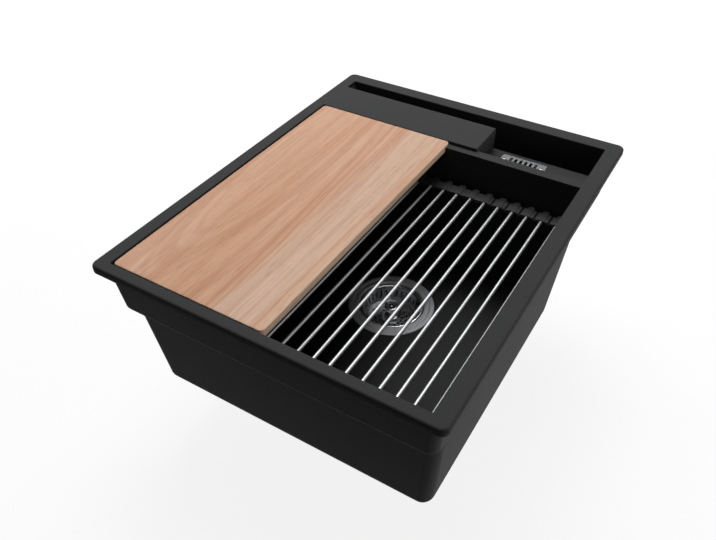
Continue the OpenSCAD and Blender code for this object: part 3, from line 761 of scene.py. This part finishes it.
inner, outer, brim, top, low = pick(CUP, "in out brim top bottom")
pipe, bore, start, end = pick(OUTLET, "r in top bottom")
turns = int((end - start) / OUTLET["pitch"] * 6)
lip = top + CUP["lip"]
waste_body = turned("waste_body", [
    (inner, top + 0.3), (inner + 0.3, top), (brim - 0.5, top), (brim, top + 0.5),
    (brim, lip - 0.8), (brim - 0.8, lip), (outer + 1, lip), (outer + 0.2, lip + 0.8),
    (outer, low - 3), (outer - 0.7, low - 0.6), (outer - 2.6, low + 1.4),
    (pipe + 2.4, start - 1.4), (pipe + 0.6, start - 0.6)] + [
    (pipe, start + (end - start) * k / turns) for k in range(turns)] + [
    (pipe - 0.6, end - 0.2), (pipe - 1, end), (bore + 0.4, end), (bore, end - 0.5),
    (bore, start + 1), (bore + 0.8, start - 0.6), (inner - 1, low + 0.7), (inner, low - 1)],
    about_waste, 128, thread)
tail, bore, collar, reach = pick(TAIL, "r in collar reach")
carve(waste_body, [spindle("tail_bore", about_tail, [(bore, inner - 6), (bore, outer + 6)])])
barbs = barbed_end(tail, bore, reach + 3, reach + TAIL["length"], 4, 5, 4.6)
join(waste_body, [turned("tail", [
    (bore, inner + 0.6), (collar, inner + 0.6), (collar, reach - 0.6), (collar - 0.6, reach),
    (tail, reach)] + barbs, about_tail, 64)])
hub, top, low = pick(HUB, "r top bottom")
bore = BOLT["r"] + 0.1
join(waste_body, [turned("hub", eased([(bore, top), (hub, top), (hub, low), (bore, low)], 0.6),
                         about_waste, 48)])
join(waste_body, [spoke("rib", math.radians(a), hub - 2, inner + 1, RIBS["w"], top + 3, low)
                  for a in RIBS["turns"]])
# Gussets brace the cup's brim all round, but not over the tail.
for k in range(GUSSETS["count"]):
    degrees = 360 / GUSSETS["count"] * (k + 0.5)
    if abs(degrees - GUSSETS["tail"]) < GUSSETS["clear"]:
        continue
    turn = math.radians(degrees)
    along = Vector((math.cos(turn), math.sin(turn)))
    side = Vector((-along.y, along.x))
    sections = []
    for reach, depth in ((55, lip - 0.5), (54.4, lip + 1.5), (49.2, lip + 11)):
        sections.append([about_waste(*(along * r + side * w), depth)
                         for r, w in ((48, -1), (reach, -0.8), (reach, 0.8), (48, 1))])
    join(waste_body, [solid("gusset", sections)])
finish_piece(waste_body, "basin", plastic, "waste_body")

shank, wide = pick(BOLT, "r head")
seat, low = DISH["floor"], HUB["bottom"]
head = seat - BOLT["head_t"]
fixing_screw = spindle("fixing_screw", about_waste, [
    (1, head), (wide / 2, head + 0.12), (wide - 1.4, head + 0.55), (wide - 0.4, head + 1.2),
    (wide, head + 1.9), (wide, seat - 0.2), (wide - 0.2, seat), (shank, seat),
    (shank, low - 1.6), (shank - 0.6, low - 1)])
driver_slot = plan_about(*WASTE_AT, BOLT["slot_l"], BOLT["slot_w"], 0.1)
carve(fixing_screw, [prism("driver_slot", driver_slot, head - 1, head + BOLT["slot_depth"])])
screw_steel = ringed_steel("screw_steel", 2600, (0.26, 0.26, 0.26), 0.3)
finish_piece(fixing_screw, "basin", screw_steel, "fixing_screw")


# ---- Basket -------------------------------------------------------------------------------
# A strainer cup pressed from thin steel: a rolled lip, slots in its wall, three rings of
# holes in its floor and a dome over the screw. A turned knob is riveted on a short post,
# and a rubber ring under the floor closes the dish when the basket is pushed down.

BASKET = {"top": 173.4, "floor": 196.1, "dome_top": 190.7}
HOLES = {"rings": 3, "count": 16, "start": 15, "step": 5.5, "r": 1.7}
WALL_SLOTS = {"count": 32, "in": 32, "out": 42, "w": 2.2, "top": 180, "bottom": 190}
BASKET_SEAL = {"in": 27.8, "out": 32.4, "t": 1.2}
POST = 3.5
KNOB = {"r": 9, "top": 174.4, "t": 5, "socket": 3.55, "flutes": 24, "flute": 0.35}

top, low, dome_top = pick(BASKET, "top floor dome_top")
basket = spindle("basket", about_waste, [
    (0.6, dome_top), (7.6, 190.8), (9.2, 191.4), (10.4, 194), (11.4, 195), (13, 195.1),
    (31.2, 195.1), (32.8, 194.6), (34, 193), (36.6, 176), (37.1, 174.6), (38, 173.7),
    (39.1, top), (40.2, 173.7), (40.85, 174.5), (40.7, 175.5), (39.9, 176.2), (39, 176),
    (38.5, 175.3), (37.9, 175.6), (37.6, 176.6), (35, 193.4), (33.6, 195.6), (31.6, low),
    (12, low), (10.4, 195.6), (9.2, 193.6), (8.2, 192), (7, 191.7), (0.6, 191.7)], 120)
cutters = []
for k in range(HOLES["count"]):
    for ring in range(HOLES["rings"]):
        turn = 2 * math.pi * (k + ring / 2) / HOLES["count"]
        arm = HOLES["start"] + ring * HOLES["step"]
        middle = (WASTE_AT[0] + arm * math.cos(turn), WASTE_AT[1] + arm * math.sin(turn))
        cutters.append(prism("hole", disc(*middle, HOLES["r"], 16), 194, 198))
for k in range(WALL_SLOTS["count"]):
    turn = 2 * math.pi * (k + 0.5) / WALL_SLOTS["count"]
    cutters.append(spoke("wall_slot", turn, *pick(WALL_SLOTS, "in out w top bottom")))
carve(basket, [join(cutters[0], cutters[1:])])
basket_steel = ringed_steel("basket_steel", 3600, (0.62, 0.63, 0.64), 0.16)
finish_piece(basket, "basket", basket_steel, "basket")

inner, outer, thick = pick(BASKET_SEAL, "in out t")
basket_seal = turned("basket_seal", eased([
    (inner, low), (outer, low), (outer, low + 0.5), (outer - 0.8, low + thick),
    (inner + 0.8, low + thick), (inner, low + 0.5)], 0.3), about_waste)
finish_piece(basket_seal, "basket", rubber, "basket_seal")

basket_post = spindle("basket_post", about_waste, [
    (POST, dome_top), (POST, 189.8), (POST - 0.4, 189.4), (POST - 0.4, 188.6), (POST, 188.2),
    (POST, 177), (POST - 0.3, 176.4)])
finish_piece(basket_post, "basket", basket_steel, "basket_post")


def grip(radius, depth, share):
    """Shallow flutes round the knob's edge."""
    if radius < KNOB["r"] - 0.05:
        return 0
    wave = 0.5 + 0.5 * math.cos(2 * math.pi * share * KNOB["flutes"])
    return KNOB["flute"] * wave ** 2


edge, top, socket = pick(KNOB, "r top socket")
low = top + KNOB["t"]
basket_knob = turned("basket_knob", [
    (0.3, 176.35), (socket, 176.35), (socket, low), (edge - 0.9, low), (edge - 0.3, low - 0.4),
    (edge, low - 1), (edge, top + 1.6), (edge - 0.4, top + 0.9), (edge - 1.2, top + 0.4),
    (6.6, top + 0.1), (5.4, top + 0.3), (3.4, top + 0.6), (1.6, top + 0.3), (0.3, top)],
    about_waste, 192, grip)
finish_piece(basket_knob, "knob", basket_steel, "basket_knob")


# ---- Overflow -----------------------------------------------------------------------------
# A slotted steel plate lies flush in the soap tray's floor. Two screws through it hold a
# black plastic outlet and its rubber seal against the underside of the tray.

GRILLE = {"w": 60, "d": 23, "top": 30, "t": 1.2, "screw": 25, "screw_hole": 1.7}
GRILLE_SLOTS = {"count": 6, "w": 3, "l": 15, "clear": 5, "flare": 0.45}
DROP = {"ear_w": 59, "ear_d": 22, "shift": 1.5, "top": 40, "ears": 43, "box_w": 39,
        "box_d": 22, "box": 55, "corner": 3, "end": 79, "tail": 10, "in": 7.8}


def grille_look(place):
    """Dark satin stainless with brush marks along the plate."""
    return steel_look(place, None, (90, 2600, 600), (0.15, 0.152, 0.156), 0.36)


x, y = GRILLE_AT
top = GRILLE["top"]
overflow_grille = loft("overflow_grille", [
    (soft_plan(GRILLE["w"], GRILLE["d"], 0, (sine - 1) * 0.5), top + versed * 0.5)
    for sine, versed in quarter(3)] + [(soft_plan(GRILLE["w"], GRILLE["d"]), top + GRILLE["t"])])
count, width, length, flare = pick(GRILLE_SLOTS, "count w l flare")
pitch = 2 * (GRILLE["screw"] - GRILLE_SLOTS["clear"]) / count
cutters = []
for k in range(count):
    middle = x + (k - (count - 1) / 2) * pitch
    cutters.append(loft("slot", [
        (slot_plan(middle, y, width, length, grow), top + below)
        for grow, below in ((flare, -1), (flare, 0), (0, flare), (0, 3))]))
for side in (-1, 1):
    hole = disc(x + side * GRILLE["screw"], y, GRILLE["screw_hole"], 24)
    cutters.append(prism("screw_hole", hole, top - 1, top + 3))
carve(overflow_grille, [join(cutters[0], cutters[1:])])
grille_steel = surface("grille_steel", grille_look)
finish_piece(overflow_grille, "basin", grille_steel, "overflow_grille")

for side, name in ((-1, "grille_screw_left"), (1, "grille_screw_right")):
    centre = (x + side * GRILLE["screw"], y)
    screw = loft(name, [(disc(*centre, r, 32), depth) for r, depth in (
        (0.8, 29), (1.6, 29.06), (2.4, 29.28), (2.85, 29.6), (3, 29.85), (3, 30), (1.5, 30),
        (1.5, 41.4), (1.2, 41.8))])
    carve(screw, [prism("cross", plan_about(*centre, w, d, 0.1), 28, 29.7)
                  for w, d in ((3.4, 0.6), (0.6, 3.4))])
    finish_piece(screw, "basin", screw_steel, name)

top, low = UNDER_TRAY["roof"], DROP["top"]
overflow_seal = loft("overflow_seal", [
    (soft_plan(DROP["ear_w"], DROP["ear_d"], DROP["shift"], grow), depth)
    for grow, depth in ((-0.2, top), (0, top + 0.3), (0, low - 0.3), (-0.2, low))])
carve(overflow_seal, [overflow_slot("slot", top - 1, low + 1)])
finish_piece(overflow_seal, "basin", rubber, "overflow_seal")

middle = y - DROP["shift"]
top, low, box = pick(DROP, "top ears box")
overflow_body = loft("overflow_body", [
    (soft_plan(DROP["ear_w"], DROP["ear_d"], DROP["shift"], grow), depth)
    for grow, depth in ((-0.3, top), (0, top + 0.3), (0, low - 0.6), (-0.6, low))])
carve(overflow_body, [overflow_slot("slot", top - 1, low + 2, 1)])
box_levels = [(slot_plan(x, middle, DROP["box_w"], DROP["box_d"]), low - 1)]
box_levels += [(slot_plan(x, middle, DROP["box_w"], DROP["box_d"], -versed * DROP["corner"]),
                box - DROP["corner"] + sine * DROP["corner"]) for sine, versed in quarter(5)]
chamber = loft("chamber", box_levels)
carve(chamber, [overflow_slot("slot", low - 2, box - 2, 1),
                prism("bore", disc(x, middle, DROP["in"]), box - 5, box + 2)])
barbs = barbed_end(DROP["tail"], DROP["in"], box + 4, DROP["end"], 3, 5.5, 5)
join(overflow_body, [chamber, turned(
    "tail", [(DROP["in"], box - 1), (DROP["tail"], box - 1)] + barbs,
    lambda across, back, depth: to_frame(x + across, middle + back, depth), 64)])
finish_piece(overflow_body, "basin", plastic, "overflow_body")


# ---- Rack ---------------------------------------------------------------------------------
# Thirteen stainless rods with their ends moulded into two silicone strips. Each strip is a
# row of round-nosed caps joined by thinner pads, and the last five pads are split at the
# middle and cut back on top, so that the rods there can be rolled up.

RODS = 13
FIXED_RODS = 8
PITCH = 18.4
LAST_ROD = 367.5
STRIP = {"front": 23.116, "back": 391.384, "middle": 48.7}
CAP = {"w": 9, "l": 22, "t": 6, "edge": 1, "corner": 0.7}
PAD = {"start": 5.5, "l": 16, "t": 4.6, "root": 4.1, "gap": 0.15, "relief": 1.437}
PIT = {"r": 2.7, "depth": 1.6}
STRIP_SMOOTHING = 40


def rod_x(number):
    """Distance of a rod from the rim's left edge."""
    return LAST_ROD - (RODS - number) * PITCH


def at_strip(number, back):
    """Places a strip's own measures: across a rod, in from the nose and up from the rod."""
    x = rod_x(number)
    nose, way = (STRIP["back"], -1) if back else (STRIP["front"], 1)
    return lambda across, inward, up: to_frame(x + across, nose + way * inward,
                                               STRIP["middle"] - up)


def cap(place):
    """A round-nosed cap with a dark pit where its rod goes in."""
    half, corner = CAP["w"] / 2, CAP["corner"]
    turns = [math.pi / 2 * k / 3 for k in range(4)]
    sections = []
    for sign in (1, -1):
        for sine, versed in (quarter(4) if sign > 0 else reversed(quarter(4))):
            inset = (1 - sine) * CAP["edge"]
            up = sign * (CAP["t"] / 2 - versed * CAP["edge"])
            arm = half - inset
            points = [(-arm * math.cos(a), half - arm * math.sin(a))
                      for a in (math.pi * k / 16 for k in range(17))]
            end = CAP["l"] - inset * 0.6 - corner
            points += [(arm - corner + corner * math.cos(a), end + corner * math.sin(a))
                       for a in turns]
            points += [(-arm + corner - corner * math.sin(a), end + corner * math.cos(a))
                       for a in turns]
            sections.append([place(u, v, up) for u, v in points])
    made = solid("cap", sections)
    carve(made, [spindle("pit", lambda u, w, v: place(u, v, w),
                         [(PIT["r"], CAP["l"] - PIT["depth"]),
                          (PIT["r"] + 0.05, CAP["l"] + 1)], 24)])
    return made


def pad(place, side, corners):
    """A pad beside a cap, with eased edges, from the corners of its cross-section."""
    sections = []
    for inset, inward in ((0.5, 0), (0.15, 0.15), (0, 0.5), (0, PAD["l"] - 0.5),
                          (0.15, PAD["l"] - 0.15), (0.5, PAD["l"])):
        sections.append([place(side * (p.x - inset * (0 if p.x < CAP["w"] / 2 else 1)),
                               PAD["start"] + inward,
                               p.y - math.copysign(min(inset, abs(p.y)), p.y))
                         for p in eased(corners, 0.5)])
    return solid("pad", sections)


def whole_pad(number, back):
    """The pad between two fixed caps."""
    root, half = PAD["root"], PAD["t"] / 2
    return pad(at_strip(number, back), 1, [(root, -half), (PITCH - root, -half),
                                           (PITCH - root, half), (root, half)])


def half_pad(number, back, side):
    """Half a pad, cut back on top where it meets the other half."""
    root, half = PAD["root"], PAD["t"] / 2
    reach = PITCH / 2 - PAD["gap"]
    return pad(at_strip(number, back), side, [(root, -half), (reach, -half), (reach, 0),
                                              (reach - PAD["relief"], half), (root, half)])


def silicone_look(place):
    """Matt dark grey silicone with a fine grain and a little dust."""
    dust = place.noise(70, 4, 0.65)
    grain = place.noise(1600, 2, 0.6)
    color = dust.band(0.35, 0.75).blend((0.042, 0.0415, 0.043), (0.066, 0.065, 0.067))
    return {"Base Color": color, "Roughness": 0.52 + grain * 0.14,
            "Specular IOR Level": 0.15, "bump": (grain, 0.00006)}


silicone = surface("strip_silicone", silicone_look)
for back, name in ((False, "front"), (True, "rear")):
    parts = [cap(at_strip(number, back)) for number in range(1, FIXED_RODS + 1)]
    parts += [whole_pad(number, back) for number in range(1, FIXED_RODS)]
    parts.append(half_pad(FIXED_RODS, back, 1))
    strip = join(parts[0], parts[1:])
    strip.name = "strip_" + name
    finish_piece(strip, "rack", silicone, "rack_strip_" + name,
                 STRIP_SMOOTHING)
    for number in range(FIXED_RODS + 1, RODS + 1):
        sides = (-1, 1) if number < RODS else (-1,)
        link = join(cap(at_strip(number, back)),
                    [half_pad(number, back, side) for side in sides])
        link.name = "link_%s_%d" % (name, number - FIXED_RODS)
        finish_piece(link, "link_%d" % (number - FIXED_RODS), silicone,
                     "link_cap_%s_%d" % (name, number - FIXED_RODS), STRIP_SMOOTHING)


def rod_look(place):
    """Satin stainless with fine draw marks along the rod."""
    return steel_look(place, None, (2600, 30, 2600), (0.38, 0.385, 0.39), 0.37)


rod_steel = surface("rod_steel", rod_look)
for number in range(1, RODS + 1):
    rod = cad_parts["rack_rod_%d" % number]
    rod.data.materials.clear()
    rod.data.materials.append(rod_steel)


# ---- Cutting board ------------------------------------------------------------------------
# One plank of oiled beech with its grain from front to back. It lies in the rim's rebate,
# and its rear end is thinned to a tongue that runs flush over the divider.

BOARD = {"left": 19.4, "right": 207, "front": 14.5, "back": 406, "t": 10, "corner": 5,
         "edge": 1.3, "tongue_from": 394, "tongue_t": 3.7}
PAST = 5  # how far the rebate's cutter runs past the plank
TREE_HEART = (62, 310, 30)


def wood_look(place):
    """Plain-sawn plank: a red belt and a pale belt, long streaks, soft arches and fine pores.

    Its sides and underside get painted light, lighter and yellower than its top, and its rounded
    edges get a painted pale highlight.
    """
    sway = place.stretched(1, 0.12, 1).noise(11, 2, 0.5)
    across = place.axis("X") + (sway - 0.5) * 0.03
    red_belt = across.band(-0.092, -0.07) * (1 - across.band(-0.06, -0.046))
    pale_belt = across.band(-0.062, -0.044) * (1 - across.band(-0.012, 0.002))
    rings = place.from_point(to_frame(*TREE_HEART)).stretched(1, 0.17, 0.6).length() + sway * 0.03
    arches = (rings * 75).noise_along(2).band(0.48, 0.66) * (1 - across.band(-0.085, -0.06))
    streaks = (place.stretched(1, 0.03, 1) + sway * 0.02).noise(95, 4, 0.65)
    fine = place.stretched(1, 0.02, 1).noise(420, 3, 0.6)
    pores = place.stretched(1, 0.03, 1).noise(1500, 1, 0.5).band(0.6, 0.72)
    patch = place.stretched(1, 0.25, 1).noise(13, 3, 0.55)
    rear_end = place.axis("Y").band(-0.26, 0.16)
    color = patch.band(0.35, 0.68).blend((0.62, 0.355, 0.22), (0.68, 0.43, 0.297))
    color = (pale_belt * 0.8).blend(color, (0.68, 0.485, 0.372))
    color = (rear_end * 0.35).blend(color, (0.46, 0.277, 0.184))
    upright = place.node("TexCoord", out="Normal").axis("Z")
    # Painted light: faces turned away from straight up are painted lighter, as if lit from the
    # side.
    side = 1 - upright.band(0.05, 0.3)
    # Painted highlight: a pale line along the rounded edges between the top and the sides.
    painted_edge_highlight = (1 - side) * (1 - upright.band(0.85, 0.99))
    # Painted light on the sides and underside.
    color = (side * 0.65).blend(color, (0.88, 0.63, 0.44))
    # Painted pale highlight on the rounded edges.
    color = (painted_edge_highlight * 0.7).blend(color, (0.9, 0.74, 0.6))
    color = (streaks.band(0.44, 0.64) * (0.27 + red_belt * 0.5)).blend(color, (0.42, 0.165, 0.077))
    color = (arches * 0.5).blend(color, (0.44, 0.205, 0.105))
    color = (fine.band(0.46, 0.7) * 0.3).blend(color, (0.4, 0.183, 0.095))
    color = (pores * 0.3).blend(color, (0.22, 0.105, 0.055))
    return {"Base Color": color, "Roughness": 0.48 + fine * 0.1 + pores * 0.1,
            "Specular IOR Level": 0.15, "bump": (1 - pores * 0.7 - fine * 0.3, 0.0001)}


edge = BOARD["edge"]
sides = pick(BOARD, "left right front back corner")
levels = [(plan(*sides, (sine - 1) * edge), versed * edge) for sine, versed in quarter(4)]
levels += [(plan(*sides, -versed * edge), BOARD["t"] - edge + sine * edge)
           for sine, versed in quarter(4)]
cutting_board = loft("cutting_board_plank", levels)
rebate = plan(BOARD["left"] - PAST, BOARD["right"] + PAST,
              BOARD["tongue_from"], BOARD["back"] + PAST, 1)
carve(cutting_board, [prism("rebate", rebate, BOARD["tongue_t"], BOARD["t"] + PAST)])
board_wood = surface("board_wood", wood_look)
finish_piece(cutting_board, "board", board_wood, "cutting_board")
